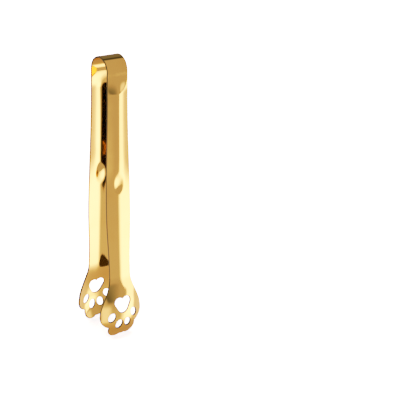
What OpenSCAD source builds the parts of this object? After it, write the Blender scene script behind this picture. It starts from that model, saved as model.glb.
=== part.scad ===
// Ice tongs pressed from one springy stainless strip.
// +Z runs up the tongs, X is across the strip, Y is the way the two arms open.
// The origin is on the centre line, level with the tips of the paws.

/* [Strip] */
// height of the tongs from the paw tips to the top of the bow
overall_length = 160; // [130:1:200]
// thickness of the sheet
sheet = 0.8; // [0.6:0.1:1.2]
// width of the strip round the bow
strip_w = 12.8; // [10:0.1:18]

/* [Bow] */
// bend radius of the bow, to the middle of the sheet
bow_r = 7.5; // [5:0.1:12]
// straight, unpressed length of strip below the bend
flat_len = 1.6; // [0.6:0.1:15]

/* [Arms] */
// width of each arm where it is broadest
belly_w = 15.6; // [11:0.1:22]
// height of that broadest place
belly_z = 74; // [60:1:85]
// width of each arm just above the paw
wrist_w = 13.9; // [10:0.1:20]
// height where the wrist has reached that width
wrist_z = 42; // [38:1:50]
// how much further apart each arm stands at the wrist than at the bow
arm_splay = 2.8; // [1:0.1:6]
// slope of the pressed roof shape between bow and dimple
upper_roof = 0.30; // [0.05:0.01:0.45]
// slope of the pressed roof shape between dimple and paw
lower_roof = 0.19; // [0.05:0.01:0.45]
// rounding along the crest of the roof shape
crest_round = 2; // [0.5:0.1:4]
// length over which the roof shape rises out of the flat strip
roof_run_out = 9.5; // [4:0.5:15]

/* [Dimple] */
// height of the middle of the thumb dimple
dimple_z = 92; // [86:1:104]
// width of the dimple
dimple_w = 7.6; // [4:0.1:10]
// height of the dimple
dimple_h = 14; // [8:0.5:20]
// how deep the dimple is pressed towards the other arm
dimple_depth = 0.6; // [0.4:0.1:1.6]

/* [Paw] */
// width across the paw
paw_w = 27.8; // [20:0.1:36]
// height of the broadest place of the paw
paw_z = 13.5; // [12:0.5:18]
// height where the arm starts to flare into the paw
flare_z = 36.5; // [30:0.5:38]
// how far the bowl of the paw bulges outwards
bowl_bulge = 1.6; // [0:0.1:4]
// how far the paw tip curls back from the bulge
tip_curl = 3.6; // [0:0.1:6]
// radius of the bowl across its width
bowl_r = 29; // [20:0.5:60]
// radius of the outer toe lobe of the outline
outer_lobe_r = 7.3; // [6:0.1:9]
// radius of the inner toe lobe of the outline
inner_lobe_r = 4.7; // [3:0.1:6]
// distance of the inner toe lobe from the centre line
inner_lobe_x = 4.4; // [3:0.1:6]

/* [Paw holes] */
// height of the two round lobes of the heart-shaped hole
heart_z = 21.4; // [18:0.1:24]
// radius of those lobes
heart_r = 2.85; // [1.5:0.05:4]
// distance of those lobes from the centre line
heart_x = 2.3; // [1:0.1:4]
// radius of the rounded point of the heart
heart_point_r = 3.4; // [1:0.1:4]
// drop from the lobes to the rounded point
heart_drop = 3; // [2:0.1:6]
// half the length of a toe hole
toe_long = 2.75; // [1.5:0.05:4]
// half the width of a toe hole
toe_short = 1.95; // [1:0.05:3]
// distance of an outer toe hole from the centre line
outer_toe_x = 7.3; // [5:0.1:10]
// height of an outer toe hole
outer_toe_z = 13.1; // [9:0.1:16]
// lean of an outer toe hole
outer_toe_lean = 25; // [0:1:40]
// distance of an inner toe hole from the centre line
inner_toe_x = 2.85; // [2:0.05:5]
// height of an inner toe hole
inner_toe_z = 8.3; // [6:0.1:12]
// lean of an inner toe hole
inner_toe_lean = 18; // [0:1:40]

/* [Hidden] */
gold = [0.86, 0.68, 0.33];
spring_gold = [0.80, 0.61, 0.27];
// height of the centre of the bow's bend
bow_z = overall_length - bow_r - sheet / 2;
// height where the bow ends and the pressed arms begin
arm_top = bow_z - flat_len;
// outer toe lobes reach the full width of the paw
outer_lobe_x = paw_w / 2 - outer_lobe_r;
// round palm that fills the outline between the inner toe lobes
palm_z = inner_lobe_r * 1.76;
palm_r = inner_lobe_r * 1.61;
// heights between which the round bowl turns into the roof shape
bowl_fade_low = paw_z + 7.5;
bowl_fade_high = flare_z + 0.5;
// heights between which the outward bulge of the bowl runs out
bulge_low = paw_z + 3.5;
bulge_top = flare_z + 0.5;
// the arms and the bowls are meshes of this many cells
arm_columns = 12;
arm_rows = 48;
bowl_columns = 18;
bowl_rows = 20;
flare_steps = 20;
// the slope of the sheet is measured over twice this distance
probe = 0.01;
// meshes run this far past their ends, which are then cut flat
spare = 1.5;
// a cutter longer than anything it passes through
through = 60;

// 0 below a, 1 above b, and a smooth rise between them
function rise(a, b, v) =
    let (s = max(0, min(1, (v - a) / (b - a))))
    s * s * (3 - 2 * s);

// half the width of the arm at a height, without the flare of the paw
function arm_half(z) =
    z > belly_z
        ? belly_w / 2 + (strip_w - belly_w) / 2 * rise(belly_z, arm_top - roof_run_out, z)
        : wrist_w / 2 + (belly_w - wrist_w) / 2 * rise(wrist_z, belly_z, z);

// distance of the arm's long edges from the middle plane, a gentle outward bow
function edge_y(z) =
    let (s = max(0, (arm_top - z) / (arm_top - wrist_z)))
    bow_r + arm_splay * s * s;

// slope of the pressed roof, steeper above the dimple and nothing on the bow
function roof_slope(z) =
    (lower_roof + (upper_roof - lower_roof) * rise(dimple_z - dimple_h, dimple_z + dimple_h, z))
        * (1 - rise(arm_top - roof_run_out, arm_top, z));

// how far a roof of slope 1 has fallen at a distance from its crest
function roof_fall(x) = sqrt(x * x + crest_round * crest_round) - crest_round;

// how far the round bowl has fallen at a distance from its middle
function bowl_fall(x) = bowl_r - sqrt(bowl_r * bowl_r - x * x);

// 0 on the arm, 1 in the paw
function in_paw(z) = 1 - rise(bowl_fade_low, bowl_fade_high, z);

// outward bulge of the bowl, and the inward curl of its tip
function bulge_y(z) =
    let (below = max(0, (paw_z - z) / paw_z))
    bowl_bulge * (1 - rise(bulge_low, bulge_top, z)) - tip_curl * below * below;

// depth of the thumb dimple, a smooth oval hollow
function dimple_y(x, z) =
    let (q = pow(2 * x / dimple_w, 2) + pow(2 * (z - dimple_z) / dimple_h, 2))
    q < 1 ? dimple_depth * (1 - q) * (1 - q) : 0;

// distance of the middle of the sheet from the middle plane
function sheet_y(x, z) =
    let (p = in_paw(z))
    edge_y(z) + roof_slope(z) * roof_fall(arm_half(z)) + bulge_y(z)
        - (1 - p) * roof_slope(z) * roof_fall(x) - p * bowl_fall(x)
        - dimple_y(x, z);

// a point on the sheet, moved along its normal by a distance towards the outside
function sheet_point(x, z, out) =
    let (
        slope_x = (sheet_y(x + probe, z) - sheet_y(x - probe, z)) / (2 * probe),
        slope_z = (sheet_y(x, z + probe) - sheet_y(x, z - probe)) / (2 * probe),
        k = out / sqrt(1 + slope_x * slope_x + slope_z * slope_z)
    )
    [x - k * slope_x, -sheet_y(x, z) - k, z - k * slope_z];

// closed sheet from the rows of points given by half widths and heights
module pressed_sheet(columns, heights, halves) {
    rows = len(heights);
    across = columns + 1;
    outer = [
        for (j = [0 : rows - 1])
            for (i = [0 : columns])
                sheet_point(halves[j] * (2 * i / columns - 1), heights[j], sheet / 2)
    ];
    inner = [
        for (j = [0 : rows - 1])
            for (i = [0 : columns])
                sheet_point(halves[j] * (2 * i / columns - 1), heights[j], -sheet / 2)
    ];
    n = across * rows;
    skin = [
        for (j = [0 : rows - 2])
            for (i = [0 : columns - 1])
                let (a = j * across + i, b = a + 1, c = a + across, d = c + 1)
                each [[a, c, b], [b, c, d], [n + a, n + b, n + c], [n + b, n + d, n + c]]
    ];
    sides = [
        for (j = [0 : rows - 2])
            let (a = j * across, c = a + across, b = a + columns, d = b + across)
            each [[a, n + a, c], [n + a, n + c, c], [b, d, n + b], [n + b, d, n + d]]
    ];
    top = (rows - 1) * across;
    ends = [
        for (i = [0 : columns - 1])
            each [
                [i, i + 1, n + i],
                [n + i, i + 1, n + i + 1],
                [top + i, n + top + i, top + i + 1],
                [n + top + i, n + top + i + 1, top + i + 1]
            ]
    ];
    polyhedron(points = concat(outer, inner), faces = concat(skin, sides, ends));
}

// slab between two heights, wider and deeper than the tongs
module level(z_low, z_high) {
    translate([-through / 2, -through / 2, z_low])
        cube([through, through, z_high - z_low]);
}

// one side of the heart: a lobe drawn down to the rounded point
module heart_side() {
    hull() {
        translate([heart_x, heart_z])
            circle(r = heart_r, $fn = 40);
        translate([0, heart_z - heart_drop])
            circle(r = heart_point_r, $fn = 40);
    }
}

// oval toe hole on one side, leaning towards the centre line at its top
module toe_hole(x, z, lean) {
    translate([x, z])
        rotate(lean)
            scale([toe_short, toe_long])
                circle(r = 1, $fn = 32);
}

// both sides of a flat shape
module both_sides() {
    children();
    mirror([1, 0])
        children();
}

// half the width of the outline where it flares from the wrist to the paw
function flare_half(z) = wrist_w / 2 + (paw_w - wrist_w) / 2 * (1 - rise(paw_z, flare_z, z));

// flat outline of the paw: the flare and four toe lobes
module paw_outline() {
    heights = [for (k = [0 : flare_steps]) paw_z + (flare_z - paw_z) * k / flare_steps];
    polygon(concat(
        [for (k = [0 : flare_steps]) [flare_half(heights[k]), heights[k]]],
        [for (k = [flare_steps : -1 : 0]) [-flare_half(heights[k]), heights[k]]]
    ));
    translate([0, palm_z])
        circle(r = palm_r, $fn = 64);
    both_sides() {
        translate([outer_lobe_x, paw_z])
            circle(r = outer_lobe_r, $fn = 64);
        translate([inner_lobe_x, inner_lobe_r])
            circle(r = inner_lobe_r, $fn = 48);
    }
}

// the pad and toe holes
module paw_holes() {
    both_sides() {
        heart_side();
        toe_hole(outer_toe_x, outer_toe_z, outer_toe_lean);
        toe_hole(inner_toe_x, inner_toe_z, inner_toe_lean);
    }
}

// an arm on the -Y side, from the wrist to the bow
module arm_shape() {
    low = flare_z - spare;
    high = arm_top + spare;
    heights = [for (j = [0 : arm_rows]) low + (high - low) * j / arm_rows];
    halves = [for (z = heights) arm_half(z)];
    intersection() {
        pressed_sheet(arm_columns, heights, halves);
        level(flare_z, arm_top);
    }
}

// a paw on the -Y side
module paw_shape() {
    heights = [for (j = [0 : bowl_rows]) -spare + (flare_z + 2 * spare) * j / bowl_rows];
    halves = [for (z = heights) paw_w / 2 + spare];
    intersection() {
        pressed_sheet(bowl_columns, heights, halves);
        level(-spare, flare_z);
        rotate([90, 0, 0])
            linear_extrude(through)
                difference() {
                    paw_outline();
                    paw_holes();
                }
    }
}

// flat half-round spring that joins the arms
module spring_bow() {
    outer = bow_r + sheet / 2;
    inner = bow_r - sheet / 2;
    color(spring_gold)
        translate([-strip_w / 2, 0, bow_z])
            rotate([90, 0, 90])
                linear_extrude(strip_w)
                    difference() {
                        union() {
                            circle(r = outer, $fn = 96);
                            translate([-outer, -flat_len])
                                square([2 * outer, flat_len]);
                        }
                        circle(r = inner, $fn = 96);
                        translate([-inner, -2 * outer])
                            square([2 * inner, 2 * outer]);
                        translate([-2 * outer, -flat_len - 2 * outer])
                            square([4 * outer, 2 * outer]);
                    }
}

// arm on the near side
module front_arm() {
    color(gold)
        arm_shape();
}

// arm on the far side
module rear_arm() {
    color(gold)
        mirror([0, 1, 0])
            arm_shape();
}

// paw on the near arm
module front_paw() {
    color(gold)
        paw_shape();
}

// paw on the far arm
module rear_paw() {
    color(gold)
        mirror([0, 1, 0])
            paw_shape();
}

spring_bow();
front_arm();
rear_arm();
front_paw();
rear_paw();
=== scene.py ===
# %% [markdown]
# # Ice tongs from one strip of gold-coloured steel
#
# The real tongs are a single strip of thin, springy stainless steel with a polished
# gold-coloured coating. The strip is bent round a bow at the top, pressed into a soft
# roof shape along both arms, dimpled for the thumb and the finger, and flared at the
# bottom into two dished paws that are pierced with a heart and four toe holes.
#
# The exact sizes live in a CAD model. This lesson loads it as a fixed frame, then makes
# the polished skin over it, the finish, the light and the camera.

import math

import bpy
import numpy as np
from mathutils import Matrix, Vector
from mathutils.geometry import delaunay_2d_cdt


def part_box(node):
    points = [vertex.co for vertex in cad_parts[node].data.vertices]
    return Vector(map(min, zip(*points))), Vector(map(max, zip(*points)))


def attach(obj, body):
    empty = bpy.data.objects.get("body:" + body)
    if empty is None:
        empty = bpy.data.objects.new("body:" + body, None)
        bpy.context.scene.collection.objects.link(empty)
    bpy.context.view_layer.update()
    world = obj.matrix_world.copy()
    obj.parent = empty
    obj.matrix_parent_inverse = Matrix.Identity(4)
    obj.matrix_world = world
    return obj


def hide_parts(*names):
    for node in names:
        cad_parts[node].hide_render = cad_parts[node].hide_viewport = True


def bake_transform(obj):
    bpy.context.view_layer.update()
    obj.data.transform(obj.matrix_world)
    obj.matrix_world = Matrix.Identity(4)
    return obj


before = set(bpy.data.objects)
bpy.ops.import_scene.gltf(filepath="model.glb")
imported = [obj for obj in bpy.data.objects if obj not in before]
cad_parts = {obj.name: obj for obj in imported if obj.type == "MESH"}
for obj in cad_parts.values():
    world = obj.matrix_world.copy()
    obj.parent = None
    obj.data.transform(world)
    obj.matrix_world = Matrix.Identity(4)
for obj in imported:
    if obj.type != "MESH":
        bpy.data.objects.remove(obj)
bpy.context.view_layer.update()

# %% [markdown]
# ## Sizes
#
# A polished strip shows every facet, so the arms and paws are drawn again as smooth
# surfaces. They have to lie exactly where the CAD solids lie. The boxes of the CAD nodes
# give most of the sizes, and the rest are the same plain numbers that shaped the solids.
# All of them are in millimetres, because that is how such a part is drawn.

# %% Sizes read from the frame
MM = 0.001

bow_low, bow_high = (np.array(corner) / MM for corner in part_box("spring_bow"))
arm_low, arm_high = (np.array(corner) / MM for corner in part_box("front_arm"))
_, paw_high = (np.array(corner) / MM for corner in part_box("front_paw"))

sheet = 0.8
strip_half = bow_high[0]
arm_top = bow_low[2]
bow_r = bow_high[1] - sheet / 2
bow_z = bow_high[2] - bow_high[1]
belly_half = arm_high[0]
flare_z = arm_low[2]
paw_half = paw_high[0]
print(f"strip {2 * strip_half:.1f} wide, bow radius {bow_r:.1f}, arms from {flare_z:.1f} to {arm_top:.1f}")

# %% [markdown]
# ## Sizes of the pressing
#
# A press die is made of a few simple forms, and these are their sizes: how wide and how
# far apart the arms stand, the slopes of the roof, the dimple and the bowl. The heights
# where one form fades into the next are given in pairs, low and high.

# %% Sizes of the pressed shape
wrist_half, wrist_z = 6.95, 42
belly_z = 74
arm_splay = 2.8
upper_roof, lower_roof = 0.30, 0.19
crest_round = 2.0
roof_run_out = 9.5
dimple_z, dimple_w, dimple_h, dimple_depth = 92, 7.6, 14, 0.6
paw_z = 13.5
bowl_r, bowl_bulge, tip_curl = 29, 1.6, 3.6
bowl_fade_low, bowl_fade_high = 21, 37
bulge_low, bulge_top = 17, 37
print(f"dimple {dimple_w} x {dimple_h} mm at {dimple_z} mm, bowl radius {bowl_r} mm")

# %% [markdown]
# ## One formula for the whole strip
#
# Pressed sheet has no separate surfaces: the roof, the dimple and the bowl are all one
# skin that rises and falls. So one function gives the distance of the middle of the sheet
# from the plane between the arms, for any place across the strip (x) and up it (z).
# The alternative, pushing a mesh about by hand, would leave dents that a mirror finish
# shows at once.

# %% The height of the sheet above the middle plane
def rise(low, high, value):
    """0 below low, 1 above high, and 3s^2 - 2s^3 of the share s between them."""
    s = np.clip((value - low) / (high - low), 0, 1)
    return s * s * (3 - 2 * s)


def arm_half(z):
    """Half width of an arm: wrist to belly to strip width, each joined by a smooth rise."""
    upper = belly_half + (strip_half - belly_half) * rise(belly_z, arm_top - roof_run_out, z)
    lower = wrist_half + (belly_half - wrist_half) * rise(wrist_z, belly_z, z)
    return np.where(z > belly_z, upper, lower)


def sheet_distance(x, z):
    """Distance of the middle of the sheet from the plane between the arms.

    The long edges follow a parabola. A roof of the height's own slope, with a
    hyperbola for its crest, stands on them, and fades into a round bowl in the paw.
    The bowl bulges outwards, its tip curls back by a parabola, and the dimple takes
    away its depth times (1 - q)^2, where q is the square of the place in an oval.
    """
    down = np.maximum(0, (arm_top - z) / (arm_top - wrist_z))
    edges = bow_r + arm_splay * down**2
    steeper = rise(dimple_z - dimple_h, dimple_z + dimple_h, z)
    slope = lower_roof + (upper_roof - lower_roof) * steeper
    slope = slope * (1 - rise(arm_top - roof_run_out, arm_top, z))
    roof_at = lambda place: np.sqrt(place**2 + crest_round**2) - crest_round
    bowl = bowl_r - np.sqrt(bowl_r**2 - x**2)
    in_paw = 1 - rise(bowl_fade_low, bowl_fade_high, z)
    below = np.maximum(0, (paw_z - z) / paw_z)
    bulge = bowl_bulge * (1 - rise(bulge_low, bulge_top, z)) - tip_curl * below**2
    q = np.minimum(1, (2 * x / dimple_w) ** 2 + (2 * (z - dimple_z) / dimple_h) ** 2)
    dimple = dimple_depth * (1 - q) ** 2
    return (edges + slope * roof_at(arm_half(z)) + bulge
            - (1 - in_paw) * slope * roof_at(x) - in_paw * bowl - dimple)


def strip_point(x, t):
    """Place on the middle of the sheet of the front half of the tongs.

    t is the height up to the centre of the bow, and from there the length round it,
    which is the angle round the bow times its radius.
    """
    angle = np.maximum(0, t - bow_z) / bow_r
    height = np.minimum(t, bow_z)
    return np.stack([x, -sheet_distance(x, height) * np.cos(angle),
                     height + bow_r * np.sin(angle)], axis=-1)


def strip_frame(x, t, step=0.01):
    """Point, direction across, direction up and outward normal, from small differences."""
    across = strip_point(x + step, t) - strip_point(x - step, t)
    up = strip_point(x, t + step) - strip_point(x, t - step)
    normal = np.cross(across, up)
    unit = lambda v: v / np.linalg.norm(v, axis=-1, keepdims=True)
    return strip_point(x, t), unit(across), unit(up), unit(normal)


crest = strip_point(np.zeros(3), np.array([flare_z, dimple_z, arm_top]))
print("crest at flare, dimple and arm top (mm):", crest.round(2).tolist())

# %% [markdown]
# ## From arrays to a mesh
#
# Blender shades a smooth mesh from the normals at its corners. A polished strip needs
# the true normals of the formula, not averages of nearby faces, so each piece gets them
# as custom normals. The piece also carries a map of the strip (across, along) for the
# polishing lines, and its distance from the nearest cut edge for the wear and the painted dark edges.

# %% A helper that turns arrays into a finished piece
def make_piece(name, points, normals, faces, caps, strip_map, edge_distance, rim_faces=0):
    """Closed mesh in metres from points in mm.

    The rim faces are the last of the faces. The caps are flat ends, and a zero vector at
    each of their corners leaves them to Blender's own flat shading.
    """
    mesh = bpy.data.meshes.new(name)
    mesh.from_pydata((points * MM).tolist(), [], faces + caps)
    corner = np.zeros(len(mesh.loops), dtype=np.int32)
    mesh.loops.foreach_get("vertex_index", corner)
    corner_normals = normals[corner]
    corner_normals[len(corner) - sum(len(cap) for cap in caps):] = 0
    mesh.polygons.foreach_set("use_smooth", np.arange(len(mesh.polygons)) < len(faces))
    finish = np.zeros(len(mesh.polygons), dtype=np.int32)
    finish[len(faces) - rim_faces:len(faces)] = 1
    mesh.polygons.foreach_set("material_index", finish)
    mesh.uv_layers.new(name="strip").data.foreach_set("uv", strip_map[corner].ravel())
    wear = mesh.attributes.new("edge_distance", "FLOAT", "POINT")
    wear.data.foreach_set("value", edge_distance.astype(np.float32))
    mesh.normals_split_custom_set(corner_normals.tolist())
    piece = bpy.data.objects.new(name, mesh)
    bpy.context.scene.collection.objects.link(piece)
    print(f"{name}: {len(points)} points, {len(mesh.polygons)} faces")
    return piece


def opposite(points, normals, faces, caps):
    """The same piece on the other side of the middle plane, with its faces turned round."""
    over = np.array([1, -1, 1])
    turn = lambda group: [face[::-1] for face in group]
    return points * over, normals * over, turn(faces), turn(caps)

# %% [markdown]
# ## The cut edge
#
# A strip is cut from a wide sheet and then tumbled, so its edges are walls with small
# rounded corners. In a mirror finish those corners are the bright and dark lines that
# make the sheet look like real metal with a thickness, and the finish further on also
# paints them dark, as a painted dark reflection. The profile below goes from the
# outer face over the edge to the inner face.

# %% The rounded edge profile
corner_r = 0.22
corner_steps = 4
half_sheet = sheet / 2

turn_angle = np.linspace(np.pi / 2, 0, corner_steps + 1)
edge_angle = np.concatenate([turn_angle, -turn_angle[::-1]])
edge_side = np.concatenate([np.ones(corner_steps + 1), -np.ones(corner_steps + 1)])
edge_reach = corner_r * np.cos(edge_angle)
edge_out = edge_side * (half_sheet - corner_r) + corner_r * np.sin(edge_angle)
print("edge profile, reach and height in mm:", edge_reach.round(2).tolist(), edge_out.round(2).tolist())

# %% [markdown]
# ## Bow and arms
#
# The bow and the arms are one closed cross section carried up the strip: the outer face,
# the right edge, the inner face and the left edge. The section's width follows the arm,
# and the formula bends it. The bow is made in two halves that meet at the top.

# %% The cross section
face_columns = 27
bow_spacing, arm_spacing = 0.4, 0.6
mm_per_map_unit = 10


def strip_section():
    """Loop of (share of the face, reach over the edge, height, normal across, normal out)."""
    share = np.linspace(-1, 1, face_columns)
    flat = np.zeros(face_columns)
    reach, out = edge_reach[1:-1], edge_out[1:-1]
    side, up = np.cos(edge_angle)[1:-1], np.sin(edge_angle)[1:-1]
    whole = np.ones(len(reach))
    return (np.concatenate([share, whole, share[::-1], -whole]),
            np.concatenate([flat, reach, flat, -reach[::-1]]),
            np.concatenate([flat + half_sheet, out, flat - half_sheet, out[::-1]]),
            np.concatenate([flat, side, flat, -side[::-1]]),
            np.concatenate([flat + 1, up, flat - 1, up[::-1]]))


def strip_piece(name, low, high, spacing, rear=False):
    """The section carried from length low to length high, closed by a flat cap at each end."""
    across, reach, out, normal_x, normal_out = strip_section()
    stations = np.linspace(low, high, int((high - low) / spacing) + 2)[:, None]
    half = arm_half(np.minimum(stations, arm_top))
    x = across * (half - corner_r) + reach
    t = stations + 0 * x
    middle, along_x, _, normal = strip_frame(x, t)
    points = (middle + out[:, None] * normal).reshape(-1, 3)
    normals = (normal_x[:, None] * along_x + normal_out[:, None] * normal).reshape(-1, 3)
    rows, columns = x.shape
    index = np.arange(rows * columns).reshape(rows, columns)
    right = np.roll(index, -1, axis=1)
    quads = np.stack([index[:-1], right[:-1], right[1:], index[1:]], axis=-1).reshape(-1, 4)
    caps = [index[0, ::-1].tolist(), index[-1].tolist()]
    strip_map = np.stack([x, t], axis=-1).reshape(-1, 2) / mm_per_map_unit
    edge_distance = np.maximum(0, half - np.abs(x)).ravel()
    shape = (points, normals, quads.tolist(), caps)
    if rear:
        shape = opposite(*shape)
    return make_piece(name, *shape, strip_map, edge_distance)


bow_end = bow_z + bow_r * np.pi / 2
bow_front = strip_piece("bow_front_half", arm_top, bow_end, bow_spacing)
bow_rear = strip_piece("bow_rear_half", arm_top, bow_end, bow_spacing, rear=True)
arm_front = strip_piece("front_arm_skin", flare_z, arm_top, arm_spacing)
arm_rear = strip_piece("rear_arm_skin", flare_z, arm_top, arm_spacing, rear=True)

# %% [markdown]
# ## The outline of a paw
#
# The press cuts the paw out before it dishes it. The outline is a smooth flare down both
# sides, then four round toe lobes. Circles drawn from one point inside the paw are easy to
# join: in every direction the outline lies as far out as the furthest circle, and some
# passes of averaging round the notches as a worn cutting die does. The heart is made in
# the same way, from circles that run from each lobe down to its broad, rounded point.

# %% Outlines from circles
inner_lobe_r = 4.7
# radius, height and distance from the centre line of the outer and the inner toe lobe
lobes = [(7.3, paw_z, 6.6), (inner_lobe_r, inner_lobe_r, 4.4)]
palm_r, palm_z = inner_lobe_r * 1.61, inner_lobe_r * 1.76
heart_x, heart_z, heart_r = 2.3, 21.4, 2.85
heart_drop, heart_point_r, heart_middle = 3.0, 3.4, 19.6
toe_short, toe_long = 1.95, 2.75
# distance from the centre line, height and lean of the outer and the inner toe hole
toe_holes = [(7.3, 13.1, 25), (2.85, 8.3, 18)]
notch_passes, heart_passes = 30, 12
flare_steps, heart_steps, circle_steps = 120, 30, 720


def reach_of_circles(centre, circles, angle):
    """Distance from centre, at each angle, to the far side of the furthest circle.

    Along a direction d, a circle at c with radius r ends at c.d + sqrt(r^2 - |c|^2 + (c.d)^2).
    """
    x, z, radius = (np.array(column)[:, None] for column in zip(*circles))
    x, z = x - centre[0], z - centre[1]
    toward = x * np.cos(angle) + z * np.sin(angle)
    inside = radius**2 - x**2 - z**2 + toward**2
    return np.where(inside > 0, toward + np.sqrt(np.maximum(inside, 0)), 0).max(axis=0)


def eased(values, passes, closed):
    """Averages each value with its neighbours, passes times."""
    for _ in range(passes):
        near = np.roll(values, 1), np.roll(values, -1)
        mean = (near[0] + 2 * values + near[1]) / 4
        if not closed:
            mean[0], mean[-1] = values[0], values[-1]
        values = mean
    return values


def even_steps(points, spacing):
    """The same line with its points at even steps along it."""
    length = np.concatenate([[0], np.cumsum(np.linalg.norm(np.diff(points, axis=0), axis=1))])
    places = np.linspace(0, length[-1], int(length[-1] / spacing) + 2)
    return np.stack([np.interp(places, length, points[:, k]) for k in range(2)], axis=-1)


def flare_half(z):
    """Half width of the flare: a smooth rise from the wrist to the full paw."""
    return wrist_half + (paw_half - wrist_half) * (1 - rise(paw_z, flare_z, z))


def paw_outline(spacing):
    """From the left of the wrist down, round the toes and up to the right of the wrist."""
    z = np.linspace(paw_z, flare_z, flare_steps)
    right = np.stack([flare_half(z), z], axis=-1)
    circles = [(side * x, z0, r) for side in (-1, 1) for r, z0, x in lobes] + [(0, palm_z, palm_r)]
    angle = np.linspace(-np.pi, 0, circle_steps + 1)
    radius = eased(reach_of_circles((0, paw_z), circles, angle), notch_passes, closed=False)
    toes = np.stack([radius * np.cos(angle), paw_z + radius * np.sin(angle)], axis=-1)
    return even_steps(np.concatenate([right[::-1] * [-1, 1], toes[1:-1], right]), spacing)


def heart_outline(spacing):
    """The hull of each lobe and the rounded point, as circles that change from one to the other."""
    circles = [(side * heart_x * (1 - s), heart_z - heart_drop * s, heart_r + (heart_point_r - heart_r) * s)
               for side in (-1, 1) for s in np.linspace(0, 1, heart_steps)]
    angle = np.linspace(0, 2 * np.pi, circle_steps // 2 + 1)[:-1]
    radius = eased(reach_of_circles((0, heart_middle), circles, angle), heart_passes, closed=True)
    loop = np.stack([radius * np.cos(angle), heart_middle + radius * np.sin(angle)], axis=-1)
    return even_steps(np.concatenate([loop, loop[:1]]), spacing)[:-1]


def toe_outline(x, z, lean, spacing):
    """An oval of the toe holes' half sizes, turned by its lean."""
    angle = np.linspace(0, 2 * np.pi, circle_steps // 4 + 1)
    oval = np.stack([toe_short * np.cos(angle), toe_long * np.sin(angle)], axis=-1)
    c, s = math.cos(math.radians(lean)), math.sin(math.radians(lean))
    loop = oval @ np.array([[c, s], [-s, c]]) + [x, z]
    return even_steps(loop, spacing)[:-1]


rim_spacing = 0.35
outline = paw_outline(rim_spacing)
holes = [heart_outline(rim_spacing)]
for side in (-1, 1):
    for x, z, lean in toe_holes:
        holes.append(toe_outline(side * x, z, side * lean, rim_spacing))
# the outline runs with the metal on its left, and turned round, so do the holes
holes = [hole[::-1] for hole in holes]
print(f"outline of {len(outline)} points, {len(holes)} holes, "
      f"{np.ptp(outline[:, 0]):.2f} x {np.ptp(outline[:, 1]):.2f} mm")

# %% [markdown]
# ## Filling the outline
#
# A grid cannot follow a heart-shaped hole, and a boolean cut would leave rough edges in a
# mirror finish. So the flat shape is filled with triangles that keep every point of the
# outlines: a Delaunay triangulation of the outlines and a lattice of points inside them.
# The formula then lifts both faces of the sheet from that one flat pattern.

# %% The flat pattern of the paw
def side_normals(line, closed):
    """Unit normals in the flat, pointing out of the metal, to the right of the way the line runs."""
    if closed:
        along = np.roll(line, -1, axis=0) - np.roll(line, 1, axis=0)
    else:
        along = np.gradient(line, axis=0)
        along[0], along[-1] = [0, -1], [0, 1]
    along = along / np.linalg.norm(along, axis=1, keepdims=True)
    return np.stack([along[:, 1], -along[:, 0]], axis=-1)


def inside_loops(points, loops):
    """Even-odd rule: a point is inside if a line from it crosses the loops an odd number of times."""
    crossings = np.zeros(len(points), dtype=int)
    for loop in loops:
        a, b = loop[None], np.roll(loop, -1, axis=0)[None]
        px, pz = points[:, None, 0], points[:, None, 1]
        spans = (a[..., 1] > pz) != (b[..., 1] > pz)
        rise_z = np.where(spans, b[..., 1] - a[..., 1], 1)
        at = a[..., 0] + (pz - a[..., 1]) * (b[..., 0] - a[..., 0]) / rise_z
        crossings += (spans & (px < at)).sum(axis=1)
    return crossings % 2 == 1


def distance_to(points, line):
    """Distance of each point to the nearest point of a line."""
    return np.sqrt(((points[:, None] - line[None]) ** 2).sum(axis=-1)).min(axis=1)


outline_normal = side_normals(outline, closed=False)
hole_normals = [side_normals(hole, closed=True) for hole in holes]
inner_outline = outline - corner_r * outline_normal
inner_holes = [hole - corner_r * normal for hole, normal in zip(holes, hole_normals)]
wrist_row = np.stack([np.linspace(1, -1, face_columns)[1:-1] * (wrist_half - corner_r),
                      np.full(face_columns - 2, flare_z)], axis=-1)
loops = [np.concatenate([inner_outline, wrist_row])] + inner_holes

lattice_step = 0.5
lattice_gap = 0.6 * lattice_step
lattice_x, lattice_z = np.meshgrid(np.arange(-paw_half, paw_half, lattice_step),
                                   np.arange(0, flare_z, lattice_step * math.sqrt(3) / 2))
lattice_x[::2] += lattice_step / 2
lattice = np.stack([lattice_x.ravel(), lattice_z.ravel()], axis=-1)
lattice = lattice[inside_loops(lattice, loops)]
lattice = lattice[distance_to(lattice, np.concatenate(loops)) > lattice_gap]

pattern = np.concatenate(loops + [lattice])
starts = np.cumsum([0] + [len(loop) for loop in loops])
edges = [(int(first + k), int(first + (k + 1) % len(loop)))
         for first, loop in zip(starts, loops) for k in range(len(loop))]
merge_within = 1e-5
filled = delaunay_2d_cdt([Vector(p) for p in pattern], edges, [], 0, merge_within)
triangles = np.array(filled[2])
assert len(filled[0]) == len(pattern), "the triangulation moved or merged points"
triangles = triangles[inside_loops(pattern[triangles].mean(axis=1), loops)]
print(f"flat pattern: {len(pattern)} points, {len(triangles)} triangles")

# %% [markdown]
# ## The paws
#
# Both faces of the dished sheet are the flat pattern, lifted by the formula to half the
# sheet's thickness on either side. The edge profile is then carried round the outline and
# round each hole, and closes the gap between the faces.

# %% Faces, rims and the join to the wrist
def rim_rows(outward, base):
    """The edge profile carried along one loop: rows of points, normals and places on the strip."""
    flat = base[None] + edge_reach[1:-1, None, None] * outward[None]
    middle, along_x, along_z, normal = strip_frame(flat[..., 0], flat[..., 1])
    side = outward[None, :, :1] * along_x + outward[None, :, 1:] * along_z
    side = side / np.linalg.norm(side, axis=-1, keepdims=True)
    turn = edge_angle[1:-1, None, None]
    points = middle + edge_out[1:-1, None, None] * normal
    return points, np.cos(turn) * side + np.sin(turn) * normal, flat


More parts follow.
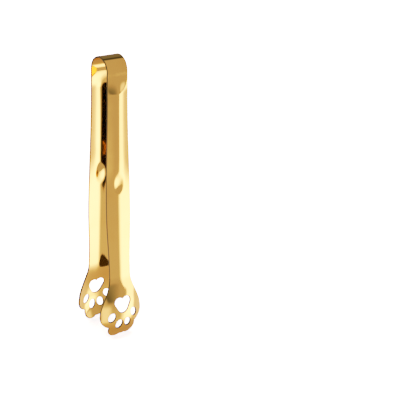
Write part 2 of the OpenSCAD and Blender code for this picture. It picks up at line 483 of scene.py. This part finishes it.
def paw_piece(name, rear=False):
    """Two lifted faces, and the edge profile carried round every loop of the pattern."""
    middle, _, _, normal = strip_frame(pattern[:, 0], pattern[:, 1])
    points = [middle + half_sheet * normal, middle - half_sheet * normal]
    normals = [normal, -normal]
    flat = [pattern, pattern]
    count = len(pattern)
    total = 2 * count
    rims = []
    for place, outward in enumerate([outline_normal] + hole_normals):
        first, length, closed = starts[place], len(outward), place > 0
        rim = rim_rows(outward, pattern[first:first + length])
        for group, new in zip((points, normals, flat), rim):
            group.append(new.reshape(-1, new.shape[-1]))
        rows = len(edge_reach) - 2
        own = total + np.arange(rows * length).reshape(rows, length)
        total += rows * length
        index = np.concatenate([[first + np.arange(length)], own, [count + first + np.arange(length)]])
        if not closed:
            ends = index[:, 0], index[:, -1]
        after = np.roll(index, -1, axis=1) if closed else index[:, 1:]
        index = index[:, :after.shape[1]]
        quads = np.stack([index[:-1], index[1:], after[1:], after[:-1]], axis=-1)
        rims += quads.reshape(-1, 4).tolist()
    faces = triangles.tolist() + (triangles[:, ::-1] + count).tolist() + rims
    row = starts[0] + len(outline) + np.arange(len(wrist_row))
    cap = np.concatenate([ends[0], count + row[::-1], ends[1][::-1], row])[::-1].tolist()
    points, normals, flat = (np.concatenate(group) for group in (points, normals, flat))
    distance = distance_to(flat, np.concatenate([outline] + holes))
    shape = (points, normals, faces, [cap])
    if rear:
        shape = opposite(*shape)
    return make_piece(name, *shape, flat / mm_per_map_unit, distance, rim_faces=len(rims))


paw_front = paw_piece("front_paw_skin")
paw_rear = paw_piece("rear_paw_skin", rear=True)

# %% [markdown]
# ## Is every piece a closed solid?
#
# A skin with a face the wrong way round looks right in a render and fails in a printer.
# The signed volume of a closed mesh, the sum of a.(b x c) / 6 over its triangles, is
# positive only when its faces point outwards, so each piece is measured here.

# %% Signed volumes
def signed_volume(piece):
    """Sum of a.(b x c) / 6 over the triangles, in cubic millimetres."""
    piece.data.calc_loop_triangles()
    corners = np.array([t.vertices[:] for t in piece.data.loop_triangles])
    places = np.array([v.co[:] for v in piece.data.vertices]) / MM
    a, b, c = (places[corners[:, k]] for k in range(3))
    return float(np.einsum("ij,ij->i", a, np.cross(b, c)).sum() / 6)


pieces = [bow_front, bow_rear, arm_front, arm_rear, paw_front, paw_rear]
for piece in pieces:
    print(f"{piece.name}: {signed_volume(piece):.1f} mm3")

# %% [markdown]
# ## Riding on the frame
#
# When the tongs are squeezed, the arms and paws turn with their hinges, which stand for
# the give of the bow. The two bow halves are what really bends, but here they stay fixed
# where they stand at rest.

# %% Bodies and replaced solids
for piece, side in ((bow_front, "front"), (bow_rear, "rear")):
    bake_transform(piece)
    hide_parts("spring_bow")
for piece, side in ((arm_front, "front"), (arm_rear, "rear")):
    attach(piece, side)
    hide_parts(side + "_arm")
for piece, side in ((paw_front, "front"), (paw_rear, "rear")):
    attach(piece, side)
    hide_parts(side + "_paw")
print("pieces on their bodies:", [piece.name for piece in pieces])

# %% [markdown]
# ## A small kit for node trees
#
# Finishes and lights are made of nodes. Written out one by one they hide their idea, so
# small helpers add a node, do a sum, make a smooth step, a noise and a mix of two colours.

# %% Node helpers
def add_node(tree, kind, inputs=(), **settings):
    """A new node, with its settings, and its inputs given as values or as sockets to link."""
    node = tree.nodes.new(kind)
    for name, value in settings.items():
        setattr(node, name, value)
    for name, value in dict(inputs).items():
        if isinstance(value, bpy.types.NodeSocket):
            tree.links.new(value, node.inputs[name])
        else:
            node.inputs[name].default_value = value
    return node


def calculate(tree, operation, *values):
    """The result of one Math node."""
    return add_node(tree, "ShaderNodeMath", dict(enumerate(values)), operation=operation).outputs[0]


def smooth_step(tree, value, low, high, start=0.0, end=1.0):
    """start below low, end above high, and a smooth change between them."""
    return add_node(tree, "ShaderNodeMapRange",
                    {"Value": value, "From Min": low, "From Max": high, "To Min": start, "To Max": end},
                    interpolation_type="SMOOTHSTEP").outputs["Result"]


def noise(tree, place, scale, detail, **settings):
    """Smooth random values over a place, from 0 to 1."""
    inputs = {"Vector": place, "Scale": scale, "Detail": detail, **settings}
    return add_node(tree, "ShaderNodeTexNoise", inputs).outputs["Fac"]


def mix_colours(tree, share, first, second):
    """first where share is 0, second where it is 1."""
    inputs = {"Factor": share, "A": first, "B": second}
    return add_node(tree, "ShaderNodeMix", inputs, data_type="RGBA").outputs["Result"]

# %% [markdown]
# ## Polished gold coating
#
# The coating is a hard, mirror-like layer of gold colour on steel. A mirror has no colour
# of its own to paint: its looks come from the tint of its reflections and from how fine
# its surface is. Real polish leaves hairlines along the strip, faint waves from the
# rolling mill and the press, and a few dull places where fingers go. So the tint and the
# roughness change a little over centimetres, and the bump has lines along the strip.
# On the rounded corners at the cut edge the coating is thin and dull, and its colour is
# painted nearly black: a painted dark reflection that draws dark lines along the edges.

# %% The polished finish
gold_tint = (1.0, 0.60, 0.155, 1)
handled_tint = (0.97, 0.565, 0.14, 1)
# painted dark reflection: a nearly black colour for the rounded corners at the cut edge
painted_dark_edge_tint = (0.13, 0.08, 0.03, 1)


def polished_gold(name):
    """Metal with hairlines along the strip, faint pressing waves, duller handled places and a painted dark
    reflection on its edges.
    """
    material = bpy.data.materials.new(name)
    material.use_nodes = True
    tree = material.node_tree
    shader = tree.nodes["Principled BSDF"]
    shader.inputs["Metallic"].default_value = 1.0
    uv = add_node(tree, "ShaderNodeUVMap", uv_map="strip").outputs["UV"]
    place = add_node(tree, "ShaderNodeTexCoord").outputs["Object"]

    along = add_node(tree, "ShaderNodeMapping", {"Vector": uv, "Scale": (60, 1.2, 1)}).outputs["Vector"]
    hairlines = noise(tree, along, 1.0, 3.0, Roughness=0.6)
    handling = noise(tree, place, 55.0, 2.0)
    waves = noise(tree, place, 160.0, 1.0)
    edge = add_node(tree, "ShaderNodeAttribute", attribute_name="edge_distance").outputs["Fac"]

    wear = smooth_step(tree, edge, 0.0, 0.7, 1.0, 0.0)
    streak = smooth_step(tree, hairlines, 0.35, 0.7)
    dull = smooth_step(tree, handling, 0.45, 0.75)
    rough = calculate(tree, "MULTIPLY_ADD", streak, 0.03, 0.045)
    rough = calculate(tree, "MULTIPLY_ADD", dull, 0.03, rough)
    rough = calculate(tree, "MULTIPLY_ADD", wear, 0.06, rough)
    tree.links.new(rough, shader.inputs["Roughness"])

    # painted dark reflection: the colour turns nearly black towards the cut edge, drawing dark lines along
    # it
    painted_edge_shade = smooth_step(tree, edge, 0.12, 0.42, 0.9, 0.0)
    tint = mix_colours(tree, dull, gold_tint, handled_tint)
    tint = mix_colours(tree, painted_edge_shade, tint, painted_dark_edge_tint)
    tree.links.new(tint, shader.inputs["Base Color"])

    lines = add_node(tree, "ShaderNodeBump", {"Height": hairlines, "Strength": 0.02, "Distance": 0.00004})
    press = add_node(tree, "ShaderNodeBump", {"Height": waves, "Strength": 0.04, "Distance": 0.0004,
                                              "Normal": lines.outputs["Normal"]})
    tree.links.new(press.outputs["Normal"], shader.inputs["Normal"])
    return material

# %% [markdown]
# ## The cut edge of the paws
#
# Where the press shears the sheet, the wall is torn for part of its depth, and coating sits
# duller on it. Its colour is painted nearly black, a painted shade and dark reflection
# that draws the thin dark lines round the paws.

# %% The sheared finish, with painted shade
# painted shade: nearly black colours for the torn wall, standing in for its shadow and dark reflection
painted_shade_dark = (0.05, 0.03, 0.01, 1)
painted_shade_paler = (0.12, 0.07, 0.024, 1)


def painted_shade_rim_finish(name):
    """Rougher metal painted nearly black as painted shade and dark reflection, with short score lines
    through the thickness of the sheet.
    """
    material = bpy.data.materials.new(name)
    material.use_nodes = True
    tree = material.node_tree
    shader = tree.nodes["Principled BSDF"]
    shader.inputs["Metallic"].default_value = 1.0
    place = add_node(tree, "ShaderNodeTexCoord").outputs["Object"]
    scores = noise(tree, place, 2600.0, 2.0)
    # the painted shade goes into the colour of the rim
    tree.links.new(mix_colours(tree, scores, painted_shade_dark, painted_shade_paler), shader.inputs["Base Color"])
    tree.links.new(smooth_step(tree, scores, 0.2, 0.8, 0.28, 0.5), shader.inputs["Roughness"])
    bump = add_node(tree, "ShaderNodeBump", {"Height": scores, "Strength": 0.2, "Distance": 0.00005})
    tree.links.new(bump.outputs["Normal"], shader.inputs["Normal"])
    return material


polished = polished_gold("polished_gold")
rim_painted_shade = painted_shade_rim_finish("rim_gold_painted_shade")
for piece in pieces:
    piece.data.materials.append(polished)
    piece.data.materials.append(rim_painted_shade)
print("finishes:", polished.name, "and", rim_painted_shade.name)

# %% [markdown]
# ## Floor
#
# The tongs are shown on plain white. The floor is a wide pale sheet just under the paws.
# A mirror would show it everywhere, so it is kept out of the reflections, where the
# studio below stands in for it.

# %% The pale floor
floor_half = 2
floor_height = -0.001


def pale_floor():
    """A four metre square of matt white card."""
    corners = [(x * floor_half, y * floor_half, floor_height)
               for x, y in ((-1, -1), (1, -1), (1, 1), (-1, 1))]
    mesh = bpy.data.meshes.new("floor")
    mesh.from_pydata(corners, [], [(0, 1, 2, 3)])
    floor = bpy.data.objects.new("floor", mesh)
    bpy.context.scene.collection.objects.link(floor)
    material = bpy.data.materials.new("white_card")
    material.use_nodes = True
    tree = material.node_tree
    shader = tree.nodes["Principled BSDF"]
    shader.inputs["Base Color"].default_value = (0.9, 0.9, 0.9, 1)
    shader.inputs["Roughness"].default_value = 0.9
    shader.inputs["Specular IOR Level"].default_value = 0.0
    mesh.materials.append(material)
    floor.visible_glossy = False
    floor.visible_shadow = False
    return floor


floor = pale_floor()
print("floor", floor.dimensions[0], "m wide")

# %% [markdown]
# ## Light
#
# Polished metal is lit by what it reflects, so the studio around it is the real light. It
# could be built from lamps and cards, but each would be one more thing to hide. Here it is
# painted on the world as brightness over direction. Bright cards stand to the front right
# and behind, the table is pale and the room a middle grey, and dark gaps ahead, to the
# sides, behind and high up give the gold its contrast. Light from below is warmer, as if
# it came off wood. The camera itself sees plain white instead of the studio.

# %% The studio
def studio():
    """Brightness over direction, as soft zones laid over one another.

    Azimuth turns from -Y towards +X: it is the arctangent of x over -y. Elevation is the
    arcsine of z. Turn is azimuth with half turns taken out, so that one zone of it stands
    on two opposite sides. All are in degrees.
    """
    world = bpy.data.worlds.new("studio")
    bpy.context.scene.world = world
    world.use_nodes = True
    tree = world.node_tree
    degrees = 180 / math.pi

    def multiply(a, b):
        return calculate(tree, "MULTIPLY", a, b)

    def add(a, b):
        return calculate(tree, "ADD", a, b)

    way = add_node(tree, "ShaderNodeTexCoord").outputs["Generated"]
    x, y, z = add_node(tree, "ShaderNodeSeparateXYZ", {0: way}).outputs
    azimuth = multiply(calculate(tree, "ARCTAN2", x, multiply(y, -1.0)), degrees)
    elevation = multiply(calculate(tree, "ARCSINE", z), degrees)
    turn = calculate(tree, "MODULO", add(azimuth, 180.0), 180.0)

    def zone(value, a, b, c, d):
        """1 from b to c, fading to 0 at a and at d."""
        return multiply(smooth_step(tree, value, a, b), smooth_step(tree, value, c, d, 1.0, 0.0))

    def panel(around, across, up):
        """A soft-edged patch: a zone around the room times a zone of elevation."""
        return multiply(zone(around, *across), zone(elevation, *up))

    def blend(under, over, share):
        """under where share is 0, over where it is 1."""
        return add(multiply(under, calculate(tree, "SUBTRACT", 1.0, share)), multiply(over, share))

    # grey room above, a little brighter below the horizon
    light = smooth_step(tree, elevation, -30.0, -13.0, 0.68, 0.54)
    # pale table in front of the tongs
    table = panel(azimuth, (-26.0, -16.0, -6.0, 8.0), (-40.0, -30.0, -20.0, -13.0))
    light = blend(light, 1.35, table)
    # bright card to the front right, with a slanting top edge
    slanted = calculate(tree, "MULTIPLY_ADD", turn, -0.3, add(elevation, 10.5))
    card = multiply(zone(azimuth, 22.0, 46.0, 56.0, 68.0), smooth_step(tree, elevation, -43.0, -27.0))
    card = multiply(card, smooth_step(tree, slanted, -15.3, -14.0, 1.0, 0.0))
    light = blend(light, smooth_step(tree, elevation, -21.0, -15.0, 3.7, 2.65), card)
    # soft light beside that card
    beside = panel(turn, (58.0, 68.0, 96.0, 112.0), (-44.0, -34.0, -14.0, -9.0))
    light = blend(light, calculate(tree, "MAXIMUM", light, 0.92), beside)
    # small card at the height of the paws
    small = panel(azimuth, (40.0, 50.0, 62.0, 74.0), (-9.0, -3.0, 8.0, 16.0))
    light = blend(light, 1.2, small)
    # very dark side at the front left, and a dimmed one opposite it, at the back right
    away = panel(turn, (108.0, 124.0, 152.0, 164.0), (-60.0, -45.0, 2.0, 10.0))
    light = blend(light, smooth_step(tree, azimuth, 60.0, 90.0, 0.06, 0.45), away)
    # two bright cards behind, left and right
    left_card = panel(azimuth, (-134.0, -124.0, -108.0, -98.0), (-43.0, -27.0, -12.0, -6.0))
    light = blend(light, 2.8, left_card)
    right_card = panel(azimuth, (136.0, 148.0, 164.0, 174.0), (-43.0, -33.0, -13.0, -7.0))
    light = blend(light, 2.6, right_card)
    # dark strip ahead and behind, at the horizon
    ahead = calculate(tree, "SUBTRACT", 1.0, zone(turn, -4.0, 28.0, 172.0, 178.0))
    light = blend(light, 0.15, multiply(ahead, zone(elevation, -15.0, -11.0, 4.0, 12.0)))
    # darker floor straight below
    light = blend(light, 0.5, smooth_step(tree, elevation, -56.0, -34.0, 1.0, 0.0))
    # dark doorway behind, low on the left
    doorway = panel(azimuth, (-180.0, -168.0, -142.0, -132.0), (-74.0, -62.0, -38.0, -26.0))
    light = blend(light, 0.05, doorway)
    # dark gap high up on those same two sides, darkest in its middle
    high = smooth_step(tree, elevation, 8.0, 22.0)
    light = blend(light, 0.2, multiply(zone(turn, 88.0, 102.0, 146.0, 152.0), high))
    light = blend(light, 0.06, multiply(zone(turn, 98.0, 106.0, 116.0, 124.0), high))

    low = smooth_step(tree, elevation, -52.0, -24.0, 1.0, 0.0)
    warmth = mix_colours(tree, low, (1.0, 0.98, 0.97, 1), (1.0, 0.86, 0.72, 1))
    shade = add_node(tree, "ShaderNodeBackground", {"Color": warmth, "Strength": light})
    white = add_node(tree, "ShaderNodeBackground", {"Color": (1, 1, 1, 1), "Strength": 2.6})
    seen = add_node(tree, "ShaderNodeLightPath").outputs["Is Camera Ray"]
    mix = add_node(tree, "ShaderNodeMixShader", {0: seen, 1: shade.outputs[0], 2: white.outputs[0]})
    tree.links.new(mix.outputs[0], tree.nodes["World Output"].inputs["Surface"])
    return world


world = studio()
print("studio of", len(world.node_tree.nodes), "nodes")

# %% [markdown]
# ## A lamp for the floor
#
# The studio lights the metal, and it is too dim to make the floor plain white. So a
# wide sun overhead lights the floor. It is hidden from reflections, which are all that
# polished metal shows, so the tongs look the same with it or without it.

# %% The lamp for the floor
lamp = bpy.data.lights.new("overhead", "SUN")
lamp.energy = 12.0
lamp.angle = math.radians(120)
overhead = bpy.data.objects.new("overhead", lamp)
bpy.context.scene.collection.objects.link(overhead)
overhead.visible_glossy = False
print("lamp of strength", lamp.energy)

# %% [markdown]
# ## Mirror in mirror
#
# The two arms are mirrors that face each other. Light that goes to and fro between them
# takes on more of the gold each time and ends as a deep orange. The gap between the arms
# of real tongs looks dark instead, perhaps because scratches and dull places eat that
# light. So only two reflections are followed, and what would come after them is dark.
# This is a shortcut that gives the right look, and not how the light really behaves.

# %% Reflections that are followed
bpy.context.scene.cycles.glossy_bounces = 2
print("reflections followed:", bpy.context.scene.cycles.glossy_bounces)

# %% [markdown]
# ## Camera
#
# The camera stands to the left of the front arm and above it, at arm's length, with a
# long lens. A view camera can slide its lens sideways. This one does the same, so that the
# tongs stand left of the middle and their long lines aren't turned by aiming away.

# %% The camera
camera_data = bpy.data.cameras.new("camera")
camera_data.lens = 75.5
camera_data.sensor_width = 36.0
camera_data.shift_x = 0.2273
camera_data.shift_y = -0.0045
camera = bpy.data.objects.new("camera", camera_data)
bpy.context.scene.collection.objects.link(camera)
aim = Vector((0, 0, 0.080))
turn, tilt, distance = math.radians(-34.07), math.radians(22.14), 0.4637
back = Vector((math.sin(turn) * math.cos(tilt), -math.cos(turn) * math.cos(tilt), math.sin(tilt)))
camera.location = aim + distance * back
camera.rotation_euler = back.to_track_quat("Z", "Y").to_euler()
camera_data.clip_start = 0.01
bpy.context.scene.camera = camera
print("camera at", [round(v, 4) for v in camera.location])

# %% [markdown]
# ## Tone
#
# Film keeps detail in the highlights of polished metal: they turn cream before they turn
# white. A soft shoulder on the tone curve does the same. It leaves the dark and middle
# tones as they are and presses the bright ones together. Two small bends in red and blue
# make the shadows and middle tones of the gold a little warmer and less green.

# %% The tone curve
RED, BLUE, ALL = 0, 2, 3
white_level = 4.5

view = bpy.context.scene.view_settings
view.view_transform = "Standard"
view.look = "None"
view.exposure = 0
view.gamma = 1
view.use_curve_mapping = True
curve = view.curve_mapping
curve.white_level = (white_level, white_level, white_level)


def bend(channel, places):
    """Runs one curve through the given places."""
    line = curve.curves[channel]
    while len(line.points) < len(places):
        line.points.new(0.5, 0.5)
    for point, place in zip(line.points, places):
        point.location = place


shoulder = [(0.0, 0.0), (0.3, 0.3), (0.55, 0.54), (0.92, 0.72), (1.54, 0.885), (2.15, 0.945), (2.45, 1.0),
            (white_level, 1.0)]
bend(ALL, [(light / white_level, tone) for light, tone in shoulder])
bend(RED, [(0, 0), (0.05, 0.052), (0.139, 0.149), (0.204, 0.232), (0.273, 0.314), (0.378, 0.43),
           (0.489, 0.53), (0.62, 0.63), (1, 1)])
bend(BLUE, [(0, 0), (0.0215, 0.0215), (0.03, 0.04), (0.042, 0.059), (0.058, 0.079), (0.087, 0.1035),
            (0.115, 0.121), (0.16, 0.16), (1, 1)])
curve.update()
print("tone curve with a shoulder of", len(shoulder), "places")
